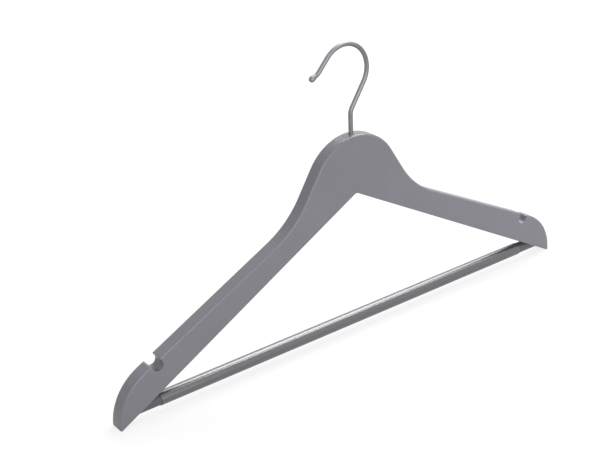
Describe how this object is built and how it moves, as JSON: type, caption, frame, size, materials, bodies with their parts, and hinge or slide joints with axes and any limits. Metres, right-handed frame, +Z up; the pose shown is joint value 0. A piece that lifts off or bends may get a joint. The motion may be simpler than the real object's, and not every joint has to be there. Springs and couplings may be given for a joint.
{
  "type": "trouser hanger",
  "caption": "Flat wooden hanger with two sloping arms, a strap notch near each arm tip, a sleeved trouser bar between the tips and a swivelling wire hook.",
  "frame": {"origin": "point on the inside of the hook's crown straight above the stem, where the rail carries the hanger", "axes": "+X along the hanger towards the arm tip away from the hook's mouth, +Y through the board towards its back, +Z up"},
  "size_m": [0.444, 0.012, 0.2417],
  "materials": {
    "painted_wood": "satin grey lacquer over wood",
    "bar_wood": "satin grey lacquer over wood",
    "hook_steel": "satin grey plated wire",
    "hidden_steel": "plain zinc plated",
    "sleeve_plastic": "glossy grey plastic tube"
  },
  "bodies": {
    "hook_assembly": {"hook": "hook_steel", "hook_washer": "hidden_steel", "hook_nut": "hidden_steel"},
    "hanger_frame": {"left_arm": "painted_wood", "right_arm": "painted_wood", "trouser_bar": "bar_wood", "bar_sleeve": "sleeve_plastic", "left_brad": "hidden_steel", "right_brad": "hidden_steel"}
  },
  "joints": [
    {"name": "hook_swivel", "type": "hinge", "parent": "hook_assembly", "child": "hanger_frame", "pos_m": [0, 0, -0.06882], "axis": [0, 0, 1], "continuous": true}
  ]
}
